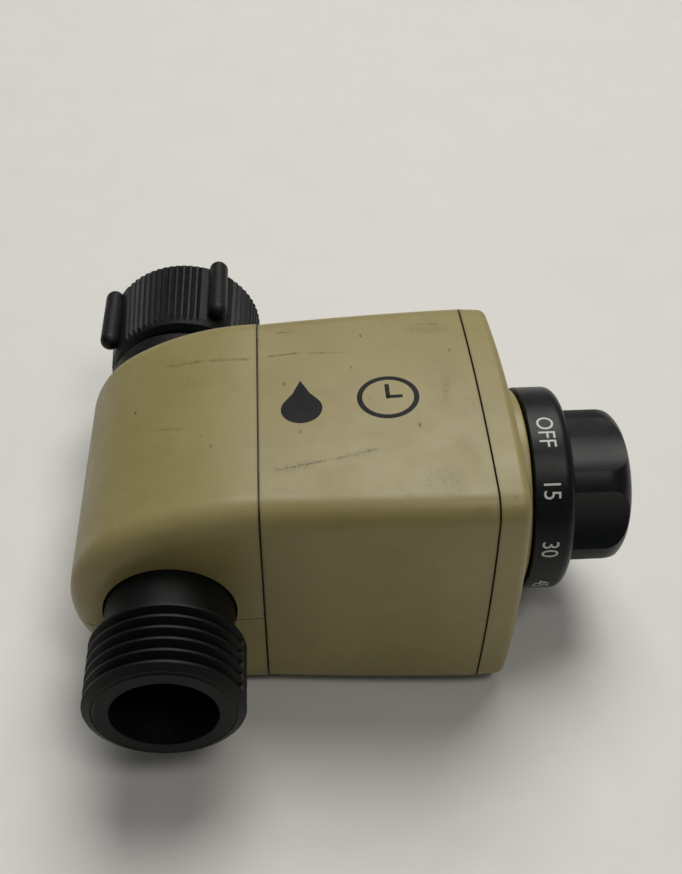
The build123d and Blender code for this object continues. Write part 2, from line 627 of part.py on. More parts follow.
# ---------------------------------------------------------------- lever
def lift_lever():
    """A bell crank: the cam pushes its roller end outwards, and its fork draws the valve stem forwards."""
    w = LEVER_HALF_WIDTH
    body = rod_y(-w, w, LEVER_HUB_R, LEVER_X, LEVER_Z)
    tip_z = FOLLOWER_Z
    arm = extrude(Plane.XZ * make_face(Polyline(
        (LEVER_X, LEVER_Z + 1.8), (FOLLOWER_X, tip_z + FOLLOWER_R), (FOLLOWER_X, tip_z - FOLLOWER_R * 0.6),
        (LEVER_X, LEVER_Z - 1.8), close=True)), amount=1.5, both=True)
    body += arm + rod_y(-1.5, 1.5, FOLLOWER_R, FOLLOWER_X, tip_z)
    face = STEM_HEAD_X[0] - 0.3
    for side in (1, -1):
        y = sorted((side * w, side * (w - PRONG_WIDTH)))
        body += block((face - 1.8, face), y, (0.0, LEVER_Z)) + rod_y(y[0], y[1], 0.9, face - 0.9, 0.0)
    return body - rod_y(-w - 1, w + 1, LEVER_PIN_R + 0.05, LEVER_X, LEVER_Z)


def lever_pin():
    half = LEVER_HALF_WIDTH + EAR_CLEARANCE + EAR_THICKNESS
    return rod_y(-half - 0.6, half + 0.6, LEVER_PIN_R, LEVER_X, LEVER_Z)


# ---------------------------------------------------------------- clockwork
def gear_outline(teeth, addendum, phase):
    """Spur gear teeth with involute flanks. phase is one tooth's angle in degrees."""
    pitch_r = MODULE * teeth / 2
    base_r = pitch_r * math.cos(math.radians(PRESSURE_ANGLE))
    tip_r = pitch_r + addendum * MODULE
    root_r = pitch_r - DEDENDUM * MODULE
    half_at_pitch = (math.pi * MODULE / 2 - BACKLASH) / (2 * pitch_r)

    def involute(radius):
        a = math.acos(min(base_r / radius, 1.0))
        return math.tan(a) - a

    def half_angle(radius):
        return half_at_pitch + involute(pitch_r) - involute(max(radius, base_r))

    radii = [root_r, max(base_r, root_r + 0.02), pitch_r, tip_r]
    points = []
    for k in range(teeth):
        centre = math.radians(phase) + 2 * math.pi * k / teeth
        flank = [(r, half_angle(r)) for r in radii]
        for r, h in flank:
            points.append((r * math.cos(centre - h), r * math.sin(centre - h)))
        for r, h in reversed(flank):
            points.append((r * math.cos(centre + h), r * math.sin(centre + h)))
    return Polyline(*points, close=True)


def gear(teeth, x, place, addendum, phase):
    face = across(x[0]) * Pos(*place) * make_face(gear_outline(teeth, addendum, phase))
    return extrude(face, amount=x[1] - x[0])


def step_from(place, direction, distance):
    y, z = polar(distance, direction)
    return (place[0] + y, place[1] + z)


def meshing_phase(direction, wheel_teeth, pinion_teeth, wheel_phase=0.0):
    """The pinion's phase that puts one of its gaps on a wheel tooth, along the line of centres."""
    share = ((direction - wheel_phase) * wheel_teeth / 360) % 1
    return direction + 180 - (0.5 - share) * 360 / pinion_teeth


DIAL_PLACE = (0.0, 0.0)
SECOND_PLACE = step_from(DIAL_PLACE, SECOND_DIRECTION, MODULE * (GREAT_TEETH + SECOND_PINION) / 2)
THIRD_PLACE = step_from(SECOND_PLACE, THIRD_DIRECTION, MODULE * (SECOND_TEETH + THIRD_PINION) / 2)
ESCAPE_PLACE = step_from(THIRD_PLACE, ESCAPE_DIRECTION, MODULE * (THIRD_TEETH + ESCAPE_PINION) / 2)
VERGE_PLACE = step_from(ESCAPE_PLACE, VERGE_DIRECTION, VERGE_DISTANCE)


def great_wheel():
    body = gear(GREAT_TEETH, GREAT_X, DIAL_PLACE, WHEEL_ADDENDUM, 0.0)
    body += rod_x(BACK_PLATE_X[1] + 0.8, GREAT_X[1] + 0.8, 4.2)
    for k in range(5):
        y, z = polar(7.6, 18 + 72 * k)
        body -= rod_x(30, 40, 2.3, y, z)
    return body - rod_x(30, 45, ARBOR_R + 0.02)


def train_wheel(teeth, pinion_teeth, x, pinion_x, place, phase, windows):
    """A wheel and its pinion, moulded as one on a steel arbor."""
    body = gear(teeth, x, place, WHEEL_ADDENDUM, 0.0)
    body += gear(pinion_teeth, pinion_x, place, PINION_ADDENDUM, phase)
    body += rod_x(pinion_x[1] - 0.2, x[0] + TINY, 1.1, *place)
    r = MODULE * teeth / 4
    for k in range(windows):
        y, z = polar(r, 360 / windows * k)
        body -= rod_x(x[0] - TINY, x[1] + 1, r * 0.42, place[0] + y, place[1] + z)
    return body - rod_x(pinion_x[0] - 1, x[1] + 1, PIVOT_R + 0.01, *place)


def second_wheel():
    phase = meshing_phase(SECOND_DIRECTION, GREAT_TEETH, SECOND_PINION)
    pinion_x = (GREAT_X[0] - 0.4, SECOND_X[0] + TINY)
    return train_wheel(SECOND_TEETH, SECOND_PINION, SECOND_X, pinion_x, SECOND_PLACE, phase, 4)


def third_wheel():
    phase = meshing_phase(THIRD_DIRECTION, SECOND_TEETH, THIRD_PINION)
    pinion_x = (SECOND_X[0] - 0.4, THIRD_X[0] + TINY)
    return train_wheel(THIRD_TEETH, THIRD_PINION, THIRD_X, pinion_x, THIRD_PLACE, phase, 4)


def escape_wheel():
    phase = meshing_phase(ESCAPE_DIRECTION, THIRD_TEETH, ESCAPE_PINION)
    points = []
    for k in range(ESCAPE_TEETH):
        a = 360 / ESCAPE_TEETH * k + VERGE_DIRECTION + VERGE_SPREAD + 1
        points += [polar(ESCAPE_ROOT_R, a), polar(ESCAPE_R, a + 13), polar(ESCAPE_R, a + 16),
                   polar(ESCAPE_ROOT_R, a + 17)]
    face = across(ESCAPE_X[0]) * Pos(*ESCAPE_PLACE) * make_face(Polyline(*points, close=True))
    body = extrude(face, amount=ESCAPE_X[1] - ESCAPE_X[0])
    body += gear(ESCAPE_PINION, (THIRD_X[0] - 0.4, ESCAPE_X[0] + TINY), ESCAPE_PLACE,
                 PINION_ADDENDUM, phase)
    return body - rod_x(30, 50, PIVOT_R + 0.01, *ESCAPE_PLACE)


def train_arbor(place):
    return rod_x(BACK_PLATE_X[0], FRONT_PLATE_X[1], PIVOT_R, *place)


def verge():
    """The rocking anchor with its two pins and its inertia bar."""
    place = VERGE_PLACE
    body = rod_x(ESCAPE_X[0] - 0.4, ESCAPE_X[1] + 3.0, 1.4, *place)
    reach = ESCAPE_R + VERGE_PIN_GAP + VERGE_PIN_R
    for side in (1, -1):
        pin = step_from(ESCAPE_PLACE, VERGE_DIRECTION + side * VERGE_SPREAD, reach)
        dy, dz = pin[0] - place[0], pin[1] - place[1]
        length = math.hypot(dy, dz)
        angle = math.degrees(math.atan2(dz, dy))
        arm = across(ESCAPE_X[1] + 0.4) * Pos(*place) * Rot(0, 0, angle) * Pos(length / 2, 0)
        body += extrude(arm * Rectangle(length, 1.1), amount=0.8)
        body += rod_x(ESCAPE_X[0] - 0.2, ESCAPE_X[1] + 1.2, VERGE_PIN_R, *pin)
    bar = across(ESCAPE_X[1] + 2.0) * Pos(*place) * Rot(0, 0, VERGE_DIRECTION + 90)
    body += extrude(bar * SlotOverall(13.0, 2.2), amount=1.0)
    return body - rod_x(30, 60, PIVOT_R + 0.01, *place)


def plate(x):
    """A movement plate, cut away at the corners for the case's screw tubes."""
    body = extrude(across(x[0]) * Rectangle(2 * PLATE_HALF_Y, 2 * PLATE_HALF_Z), amount=x[1] - x[0])
    corner_r = CASE_BOSS_R + math.hypot(PLATE_HALF_Y - CASE_SCREW_Y, PLATE_HALF_Z - CASE_SCREW_Z) + 0.5
    for y, z in four(PLATE_HALF_Y, PLATE_HALF_Z):
        body -= rod_x(x[0] - 1, x[1] + 1, corner_r, y, z)
    for place in (SECOND_PLACE, THIRD_PLACE, ESCAPE_PLACE, VERGE_PLACE):
        body -= rod_x(x[0] - 1, x[1] + 1, PIVOT_R + PIVOT_CLEARANCE, *place)
    for place in PILLAR_PLACES:
        body -= rod_x(x[0] - 1, x[1] + 1, SMALL_SCREW_R + 0.1, *place)
    return body


def movement_back_plate():
    return plate(BACK_PLATE_X) - rod_x(BACK_PLATE_X[0] - 3, BACK_PLATE_X[1] + 3, ARBOR_TAIL_R + STEM_CLEARANCE)


def movement_front_plate():
    body = plate(FRONT_PLATE_X) - rod_x(FRONT_PLATE_X[0] - 4, FRONT_PLATE_X[1] + 5, ARBOR_R + STEM_CLEARANCE)
    for place in LUG_BOSS_PLACES:
        body -= rod_x(FRONT_PLATE_X[0] - 4, FRONT_PLATE_X[1] + 5, SMALL_SCREW_R + 0.15, *place)
    return body


def movement_pillars():
    pillars = []
    for y, z in PILLAR_PLACES:
        pillar = rod_x(BACK_PLATE_X[1] + 0.02, FRONT_PLATE_X[0] - 0.02, PILLAR_R, y, z)
        for x in (BACK_PLATE_X[1], FRONT_PLATE_X[0]):
            pillar -= rod_x(x - 4, x + 4, SMALL_SCREW_R - 0.2, y, z)
        pillars.append(pillar.solid())
    return Compound(pillars)


def plate_screws():
    screws = []
    for y, z in PILLAR_PLACES:
        back = rod_x(BACK_PLATE_X[0] - 1.0, BACK_PLATE_X[0] - 0.02, SMALL_HEAD_R, y, z)
        back += rod_x(BACK_PLATE_X[0] - 0.1, BACK_PLATE_X[1] + 3.5, SMALL_SCREW_R - 0.22, y, z)
        front = rod_x(FRONT_PLATE_X[1] + 0.02, FRONT_PLATE_X[1] + 1.0, SMALL_HEAD_R, y, z)
        front += rod_x(FRONT_PLATE_X[0] - 3.5, FRONT_PLATE_X[1] + 0.1, SMALL_SCREW_R - 0.22, y, z)
        screws += [back.solid(), front.solid()]
    return Compound(screws)


def movement_screws():
    screws = []
    for y, z in LUG_BOSS_PLACES:
        screw = rod_x(FRONT_PLATE_X[1] + 0.02, FRONT_PLATE_X[1] + 1.0, SMALL_HEAD_R - 0.1, y, z)
        screw += rod_x(FRONT_PLATE_X[0] - 7, FRONT_PLATE_X[1] + 0.1, SMALL_SCREW_R - 0.12, y, z)
        screws.append(screw.solid())
    return Compound(screws)


def case_screws():
    screws = []
    for y, z in four(CASE_SCREW_Y, CASE_SCREW_Z):
        screw = rod_x(CASE_SCREW_X[1] + 0.02, CASE_SCREW_X[1] + 2.0, CASE_SCREW_HEAD_R, y, z)
        screw += rod_x(CASE_SCREW_X[0], CASE_SCREW_X[1] + 0.1, CASE_SCREW_R - 0.12, y, z)
        screws.append(screw.solid())
    return Compound(screws)


def spring_barrel():
    body = rod_x(BARREL_X[0], BARREL_X[1], BARREL_R)
    body -= rod_x(BARREL_X[0] + BARREL_WALL, BARREL_X[1] + 1, BARREL_R - BARREL_WALL)
    body -= rod_x(40, 60, ARBOR_R + 0.3)
    lid = ring_x(BARREL_X[1] - TINY, FRONT_PLATE_X[0] - 0.02, BARREL_R, BARREL_R - 2.4)
    return body + lid


def mainspring():
    """A flat steel spiral round the dial's arbor."""
    turns = MAINSPRING_TURNS
    steps = 12 * turns

    def spiral(offset):
        low, high = MAINSPRING_R
        return [polar(low + offset + (high - low - MAINSPRING_THICKNESS) * k / steps, 30.0 * k)
                for k in range(steps + 1)]
    inner = spiral(0.0)
    outer = spiral(MAINSPRING_THICKNESS)
    outline = Curve() + [Spline(inner), Line(inner[-1], outer[-1]), Spline(outer), Line(outer[0], inner[0])]
    x0 = BARREL_X[0] + BARREL_WALL + 0.4
    return extrude(across(x0) * make_face(outline), amount=BARREL_X[1] - 0.4 - x0)


def arbor_seal():
    x = BOSS_FRONT_X - 5.0
    ring = ring_x(x, x + 1.7, ARBOR_R + 1.45, ARBOR_R + 0.03)
    return fillet(ring.edges(), 0.4)


# ---------------------------------------------------------------- the whole timer
PIECES = {
    "rear_shell_upper": rear_shell(1),
    "rear_shell_lower": rear_shell(-1),
    "middle_casing": middle_casing(),
    "front_bezel": front_bezel(),
    "case_screws": case_screws(),
    "valve_body": valve_body(),
    "valve_bonnet": valve_bonnet(),
    "bonnet_o_ring": bonnet_o_ring(),
    "bonnet_screws": bonnet_screws(),
    "gland_seal": gland_seal(),
    "valve_spring": valve_spring(),
    "nut_retaining_ring": nut_retaining_ring(),
    "lever_pin": lever_pin(),
    "arbor_seal": arbor_seal(),
    "movement_back_plate": movement_back_plate(),
    "movement_front_plate": movement_front_plate(),
    "movement_pillars": movement_pillars(),
    "plate_screws": plate_screws(),
    "movement_screws": movement_screws(),
    "spring_barrel": spring_barrel(),
    "mainspring": mainspring(),
    "dial_knob": dial_knob(),
    "dial_arbor": dial_arbor(),
    "valve_cam": valve_cam(),
    "great_wheel": great_wheel(),
    "second_wheel": second_wheel(),
    "second_arbor": train_arbor(SECOND_PLACE),
    "third_wheel": third_wheel(),
    "third_arbor": train_arbor(THIRD_PLACE),
    "escape_wheel": escape_wheel(),
    "escape_arbor": train_arbor(ESCAPE_PLACE),
    "verge": verge(),
    "verge_arbor": train_arbor(VERGE_PLACE),
    "lift_lever": lift_lever(),
    "valve_stem": valve_stem(),
    "poppet": poppet(),
    "seat_seal": seat_seal(),
    "swivel_nut": swivel_nut(),
    "inlet_washer": inlet_washer(),
    "inlet_filter": inlet_filter(),
}

# The timer rests on the rear shells' lower line and on the bezel's lower crown, so its axis rises slightly
# towards the dial.
REST_TILT = math.degrees(math.atan(
    (FRONT_HALF_Z + FRONT_CROWN - SHELL_HALF_Z) / (FRONT_SEAM_X + 1.0 - REAR_SEAM_X + 2.0)))
LEAN = Rot(0, -REST_TILT, 0)
EXTENT = Compound(children=[LEAN * piece for piece in PIECES.values()]).bounding_box()
LAY_DOWN = Pos(-EXTENT.center().X, -EXTENT.center().Y, -EXTENT.min.Z) * LEAN

if __name__ == "__main__":
    os.makedirs("parts", exist_ok=True)
    for name, piece in PIECES.items():
        export_step(LAY_DOWN * piece, f"parts/{name}.step")
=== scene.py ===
import json
import math

import bmesh
import bpy
from mathutils import Matrix, Vector
from mathutils.bvhtree import BVHTree


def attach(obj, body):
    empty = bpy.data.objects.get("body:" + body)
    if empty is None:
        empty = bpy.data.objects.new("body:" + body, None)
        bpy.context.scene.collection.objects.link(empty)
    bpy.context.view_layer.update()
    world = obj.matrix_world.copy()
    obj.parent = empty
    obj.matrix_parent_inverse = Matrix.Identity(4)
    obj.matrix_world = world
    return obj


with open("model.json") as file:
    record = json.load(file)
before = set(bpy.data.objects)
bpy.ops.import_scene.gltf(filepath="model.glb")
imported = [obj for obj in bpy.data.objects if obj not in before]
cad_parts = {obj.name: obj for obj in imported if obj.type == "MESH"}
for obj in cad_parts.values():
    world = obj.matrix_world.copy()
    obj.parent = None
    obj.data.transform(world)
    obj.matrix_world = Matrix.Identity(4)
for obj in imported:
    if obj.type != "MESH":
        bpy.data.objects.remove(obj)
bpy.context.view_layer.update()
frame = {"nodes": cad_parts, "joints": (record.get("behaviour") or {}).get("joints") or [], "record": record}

# A clockwork hose-end water timer, lying on a pale table. Positions are worked out in the maker's
# own frame: x along the dial's axis, y along the water's way, z up, in millimetres from where the
# two axes cross.

MM = 0.001
NODES = frame["nodes"]
JOINTS = {joint["name"]: joint for joint in frame["joints"]}
DIAL_AXIS = Vector(JOINTS["dial_turn"]["axis"]).normalized()
FLOW_AXIS = Vector((0, 1, 0))
UP_AXIS = DIAL_AXIS.cross(FLOW_AXIS)
CROSSING = Vector((
    JOINTS["nut_spin"]["pos_m"][0],
    JOINTS["dial_turn"]["pos_m"][1],
    JOINTS["nut_spin"]["pos_m"][2],
))
TURN = Matrix((DIAL_AXIS, FLOW_AXIS, UP_AXIS)).transposed()

REAR_SEAM_X = 16.5
FRONT_SEAM_X = 56.0
DIAL_R = 19.6
CASE_TOP_Z = 24.0          # used where a ray finds no case under a mark
ABOVE_CASE_Z = 60.0


def place(x, y, z):
    """A point of the maker's frame, in metres in the model's frame."""
    return CROSSING + TURN @ (Vector((x, y, z)) * MM)


def heading(x, y, z):
    return (TURN @ Vector((x, y, z))).normalized()


def surface_tree(name):
    mesh = NODES[name].data
    return BVHTree.FromPolygons([v.co[:] for v in mesh.vertices], [p.vertices[:] for p in mesh.polygons])


CASE_TREES = [surface_tree(name) for name in ("middle_casing", "rear_shell_upper", "front_bezel")]


# ------------------------------------------------------------------ node groups and materials

def link(tree, source, target):
    tree.links.new(source, target)


def add_node(tree, kind, settings=None, values=None):
    """Adds a shader node, sets its options and fills in its unlinked inputs."""
    node = tree.nodes.new(kind)
    for name, value in (settings or {}).items():
        setattr(node, name, value)
    for name, value in (values or {}).items():
        node.inputs[name].default_value = value
    return node


def new_group(name, inputs, outputs):
    """An empty node group with named sockets, given as (name, kind, default)."""
    tree = bpy.data.node_groups.new(name, "ShaderNodeTree")
    for label, kind, default in inputs:
        socket = tree.interface.new_socket(name=label, in_out="INPUT", socket_type=kind)
        if default is not None:
            socket.default_value = default
    for label, kind in outputs:
        tree.interface.new_socket(name=label, in_out="OUTPUT", socket_type=kind)
    return tree, tree.nodes.new("NodeGroupInput"), tree.nodes.new("NodeGroupOutput")


def math_node(tree, operation, first, second=None, third=None, clamp=False):
    node = add_node(tree, "ShaderNodeMath", {"operation": operation, "use_clamp": clamp})
    for socket, value in zip(node.inputs, (first, second, third)):
        if value is None:
            continue
        if isinstance(value, (int, float)):
            socket.default_value = value
        else:
            link(tree, value, socket)
    return node.outputs[0]


def vector_node(tree, operation, first, second=None):
    node = add_node(tree, "ShaderNodeVectorMath", {"operation": operation})
    for socket, value in zip(node.inputs, (first, second)):
        if value is None:
            continue
        if isinstance(value, (tuple, Vector)):
            socket.default_value = value
        else:
            link(tree, value, socket)
    return node


def ramp(tree, value, low, high, smooth=True):
    """0 at low, 1 at high."""
    node = add_node(
        tree, "ShaderNodeMapRange",
        {"interpolation_type": "SMOOTHSTEP" if smooth else "LINEAR", "clamp": True},
    )
    link(tree, value, node.inputs["Value"])
    for name, limit in (("From Min", low), ("From Max", high)):
        if isinstance(limit, (int, float)):
            node.inputs[name].default_value = limit
        else:
            link(tree, limit, node.inputs[name])
    return node.outputs["Result"]


def mix_colour(tree, share, first, second, blend="MIX"):
    node = add_node(tree, "ShaderNodeMix", {"data_type": "RGBA", "blend_type": blend})
    for socket, value in ((node.inputs[0], share), (node.inputs[6], first), (node.inputs[7], second)):
        if isinstance(value, (int, float)):
            socket.default_value = value
        elif isinstance(value, tuple):
            socket.default_value = (*value[:3], 1)
        else:
            link(tree, value, socket)
    return node.outputs[2]


def noise(tree, coordinates, scale, detail=3.0, roughness=0.55):
    node = add_node(tree, "ShaderNodeTexNoise", None,
                    {"Scale": scale, "Detail": detail, "Roughness": roughness})
    link(tree, coordinates, node.inputs["Vector"])
    return node.outputs["Fac"]


def streak_group():
    """A rubbed streak along a line between two points on the surface, broken up by fine noise."""
    tree, into, out = new_group(
        "rubbed streak",
        [("Position", "NodeSocketVector", None), ("Start", "NodeSocketVector", None),
         ("End", "NodeSocketVector", None), ("Width", "NodeSocketFloat", 0.0006),
         ("Break up", "NodeSocketFloat", 0.5)],
        [("Mask", "NodeSocketFloat")],
    )
    along = vector_node(tree, "SUBTRACT", into.outputs["End"], into.outputs["Start"]).outputs[0]
    away = vector_node(tree, "SUBTRACT", into.outputs["Position"], into.outputs["Start"]).outputs[0]
    reach = vector_node(tree, "DOT_PRODUCT", away, along).outputs["Value"]
    length = vector_node(tree, "DOT_PRODUCT", along, along).outputs["Value"]
    share = math_node(tree, "DIVIDE", reach, length, clamp=True)
    nearest = vector_node(tree, "SCALE", along)
    link(tree, share, nearest.inputs["Scale"])
    gap = vector_node(tree, "SUBTRACT", away, nearest.outputs[0]).outputs[0]
    distance = vector_node(tree, "LENGTH", gap).outputs["Value"]
    wobble = noise(tree, into.outputs["Position"], 700.0, 2.0)
    width = math_node(tree, "MULTIPLY", into.outputs["Width"], math_node(tree, "ADD", wobble, 0.5))
    core = math_node(tree, "SUBTRACT", 1.0, ramp(tree, distance, 0.0, width))
    taper = ramp(tree, math_node(tree, "PINGPONG", share, 0.5), 0.0, 0.22)
    fine = ramp(tree, noise(tree, into.outputs["Position"], 1500.0, 4.0, 0.7), 0.44, 0.6)
    kept = math_node(tree, "SUBTRACT", 1.0, math_node(
        tree, "MULTIPLY", into.outputs["Break up"], math_node(tree, "SUBTRACT", 1.0, fine)))
    mask = math_node(tree, "MULTIPLY", math_node(tree, "MULTIPLY", core, taper), kept)
    link(tree, mask, out.inputs["Mask"])
    return tree


def skin_group():
    """The fine skin of an injection moulding: soft mottling, specks, and a shallow grain."""
    tree, into, out = new_group(
        "moulded skin",
        [("Position", "NodeSocketVector", None), ("Base", "NodeSocketColor", (0.5, 0.5, 0.5, 1)),
         ("Shade", "NodeSocketColor", (0.4, 0.4, 0.4, 1)), ("Mottle", "NodeSocketFloat", 0.5),
         ("Specks", "NodeSocketFloat", 0.3), ("Gloss low", "NodeSocketFloat", 0.35),
         ("Gloss high", "NodeSocketFloat", 0.5), ("Grain", "NodeSocketFloat", 0.12)],
        [("Color", "NodeSocketColor"), ("Roughness", "NodeSocketFloat"), ("Normal", "NodeSocketVector")],
    )
    at = into.outputs["Position"]
    broad = ramp(tree, noise(tree, at, 42.0, 4.0, 0.6), 0.35, 0.7)
    colour = mix_colour(tree, math_node(tree, "MULTIPLY", broad, into.outputs["Mottle"]),
                        into.outputs["Base"], into.outputs["Shade"])
    cells = add_node(tree, "ShaderNodeTexVoronoi", None, {"Scale": 420.0, "Randomness": 1.0})
    link(tree, at, cells.inputs["Vector"])
    dot = math_node(tree, "SUBTRACT", 1.0, ramp(tree, cells.outputs["Distance"], 0.05, 0.14))
    rare = ramp(tree, noise(tree, at, 95.0, 3.0), 0.56, 0.68)
    specks = math_node(tree, "MULTIPLY", math_node(tree, "MULTIPLY", dot, rare), into.outputs["Specks"])
    colour = mix_colour(tree, specks, colour, (0.05, 0.04, 0.02))
    link(tree, colour, out.inputs["Color"])
    gloss = add_node(tree, "ShaderNodeMapRange", {"clamp": True}, {"From Min": 0.3, "From Max": 0.7})
    link(tree, noise(tree, at, 130.0, 5.0, 0.6), gloss.inputs["Value"])
    link(tree, into.outputs["Gloss low"], gloss.inputs["To Min"])
    link(tree, into.outputs["Gloss high"], gloss.inputs["To Max"])
    link(tree, gloss.outputs["Result"], out.inputs["Roughness"])
    height = math_node(tree, "ADD", noise(tree, at, 3200.0, 2.0), math_node(
        tree, "MULTIPLY", noise(tree, at, 260.0, 2.0), 0.8))
    bump = add_node(tree, "ShaderNodeBump", None, {"Distance": 0.00008})
    link(tree, into.outputs["Grain"], bump.inputs["Strength"])
    link(tree, height, bump.inputs["Height"])
    link(tree, bump.outputs["Normal"], out.inputs["Normal"])
    return tree


def dust_group():
    """Pale dust that settles on surfaces that face up, and clings more in patches."""
    tree, into, out = new_group(
        "settled dust",
        [("Position", "NodeSocketVector", None), ("Base", "NodeSocketColor", (0, 0, 0, 1)),
         ("Dust", "NodeSocketColor", (0.35, 0.34, 0.31, 1)), ("Amount", "NodeSocketFloat", 0.3)],
        [("Color", "NodeSocketColor"), ("Mask", "NodeSocketFloat")],
    )
    facing = add_node(tree, "ShaderNodeNewGeometry")
    split = add_node(tree, "ShaderNodeSeparateXYZ")
    link(tree, facing.outputs["Normal"], split.inputs[0])
    up = ramp(tree, split.outputs["Z"], -0.1, 1.0)
    patch = ramp(tree, noise(tree, into.outputs["Position"], 900.0, 5.0, 0.7), 0.25, 0.8)
    mask = math_node(tree, "MULTIPLY", math_node(tree, "MULTIPLY", up, patch), into.outputs["Amount"])
    link(tree, mix_colour(tree, mask, into.outputs["Base"], into.outputs["Dust"]), out.inputs["Color"])
    link(tree, mask, out.inputs["Mask"])
    return tree


STREAK = streak_group()
SKIN = skin_group()
DUST = dust_group()


def new_material(name, specular=0.5, coat=0.0):
    """A material with its shader, its place coordinates, and both in hand."""
    material = bpy.data.materials.new(name)
    material.use_nodes = True
    tree = material.node_tree
    shader = tree.nodes["Principled BSDF"]
    shader.inputs["Specular IOR Level"].default_value = specular
    shader.inputs["Coat Weight"].default_value = coat
    where = add_node(tree, "ShaderNodeTexCoord").outputs["Object"]
    return material, tree, shader, where


def use_skin(tree, where, base, shade, **values):
    node = add_node(tree, "ShaderNodeGroup", {"node_tree": SKIN})
    link(tree, where, node.inputs["Position"])
    node.inputs["Base"].default_value = (*base, 1)
    node.inputs["Shade"].default_value = (*shade, 1)
    for name, value in values.items():
        node.inputs[name.replace("_", " ")].default_value = value
    return node


def use_dust(tree, where, colour, amount, dust=(0.35, 0.34, 0.31)):
    node = add_node(tree, "ShaderNodeGroup", {"node_tree": DUST})
    link(tree, where, node.inputs["Position"])
    link(tree, colour, node.inputs["Base"])
    node.inputs["Dust"].default_value = (*dust, 1)
    node.inputs["Amount"].default_value = amount
    return node


def near_plane(tree, where, x, reach):
    """1 on the plane across the dial's axis at x, falling to 0 at reach, both in millimetres."""
    offset = vector_node(tree, "SUBTRACT", where, place(x, 0, 0)).outputs[0]
    depth = vector_node(tree, "DOT_PRODUCT", offset, DIAL_AXIS).outputs["Value"]
    return math_node(tree, "SUBTRACT", 1.0,
                     ramp(tree, math_node(tree, "ABSOLUTE", depth), 0.0, reach * MM))


def mark_height(point):
    """How high the case's upper face is at a place on it, from a ray dropped on the case mouldings."""
    down = -UP_AXIS
    heights = []
    for tree in CASE_TREES:
        hit = tree.ray_cast(place(*point, ABOVE_CASE_Z), down)[0]
        if hit is not None:
            heights.append((hit - CROSSING).dot(UP_AXIS) / MM)
    return max(heights, default=CASE_TOP_Z)


SCUFF_SPREAD = 1.5
SCUFF_BREAK_UP = 0.72
CHIP_SPREAD = 3.0
CHIP_STRENGTH = 0.8
CHIP_BREAK_UP = 0.2


def khaki_plastic():
    """Satin khaki case moulding, with the rubs and grime of use on its upper face."""
    material, tree, shader, where = new_material("khaki_plastic", specular=0.42)
    skin = use_skin(tree, where, (0.292, 0.244, 0.098), (0.254, 0.208, 0.076),
                    Mottle=0.8, Specks=0.6, Gloss_low=0.34, Gloss_high=0.48, Grain=0.16)
    colour = skin.outputs["Color"]
    scuffs = [
        ((17.5, 13.4), (25.5, 13.9), 0.32, 0.75), ((25.0, 13.6), (33.4, 13.0), 0.28, 0.65),
        ((-1.1, 15.2), (7.5, 14.0), 0.45, 0.7), ((6.5, 14.2), (16.0, 12.8), 0.5, 0.75),
        ((18.0, -16.8), (29.0, -14.9), 0.34, 0.8), ((28.0, -15.2), (37.8, -13.1), 0.3, 0.8),
        ((18.4, -16.6), (26.0, -15.5), 1.1, 0.3), ((31.0, -14.6), (37.4, -13.2), 0.9, 0.3),
        ((50.8, 5.2), (49.8, -4.3), 0.9, 0.3), ((50.3, 2.4), (50.1, -1.2), 0.4, 0.45),
        ((43.2, -20.6), (51.6, -21.4), 3.2, 0.24), ((48.0, -18.2), (47.2, -22.6), 2.4, 0.2),
        ((43.9, 19.0), (54.2, 18.5), 1.5, 0.28), ((46.0, 20.6), (52.0, 20.2), 0.5, 0.4),
        ((20.0, 20.4), (23.2, 20.7), 0.4, 0.5), ((-3.0, -1.0), (3.4, -3.6), 0.35, 0.4),
    ]
    chips = [
        ((21.4, 5.2), 0.28), ((23.9, -7.8), 0.22), ((33.8, 8.4), 0.2), ((44.6, -8.2), 0.3),
        ((52.4, 11.6), 0.24), ((-6.2, 5.4), 0.26), ((8.3, -9.2), 0.24), ((36.2, 17.8), 0.26),
    ]
    grime = None
    marks = [(start, end, SCUFF_SPREAD * width, strength, SCUFF_BREAK_UP)
             for start, end, width, strength in scuffs]
    marks += [((x - r, y), (x + r, y), CHIP_SPREAD * r, CHIP_STRENGTH, CHIP_BREAK_UP)
              for (x, y), r in chips]
    for start, end, width, strength, broken in marks:
        node = add_node(tree, "ShaderNodeGroup", {"node_tree": STREAK})
        link(tree, where, node.inputs["Position"])
        node.inputs["Start"].default_value = place(*start, mark_height(start))
        node.inputs["End"].default_value = place(*end, mark_height(end))
        node.inputs["Width"].default_value = width * MM
        node.inputs["Break up"].default_value = broken
        mask = math_node(tree, "MULTIPLY", node.outputs["Mask"], strength)
        grime = mask if grime is None else math_node(tree, "MAXIMUM", grime, mask)
    colour = mix_colour(tree, grime, colour, (0.045, 0.034, 0.016))
    # Painted shade: a narrow darker band either side of both seams stands in for the shaded groove where the
    # mouldings meet.
    seam_shade = math_node(tree, "MAXIMUM", near_plane(tree, where, REAR_SEAM_X, 0.75),
                      near_plane(tree, where, FRONT_SEAM_X, 0.75))
    colour = mix_colour(tree, math_node(tree, "MULTIPLY", seam_shade, 0.35), colour, (0.09, 0.07, 0.035))
    cloud = ramp(tree, noise(tree, where, 150.0, 8.0, 0.78), 0.52, 0.72)
    colour = mix_colour(tree, math_node(tree, "MULTIPLY", cloud, 0.26), colour, (0.13, 0.105, 0.045))
    link(tree, colour, shader.inputs["Base Color"])
    roughness = math_node(tree, "ADD", skin.outputs["Roughness"],
                          math_node(tree, "MULTIPLY", grime, 0.15))
    link(tree, roughness, shader.inputs["Roughness"])
    link(tree, skin.outputs["Normal"], shader.inputs["Normal"])
    return material


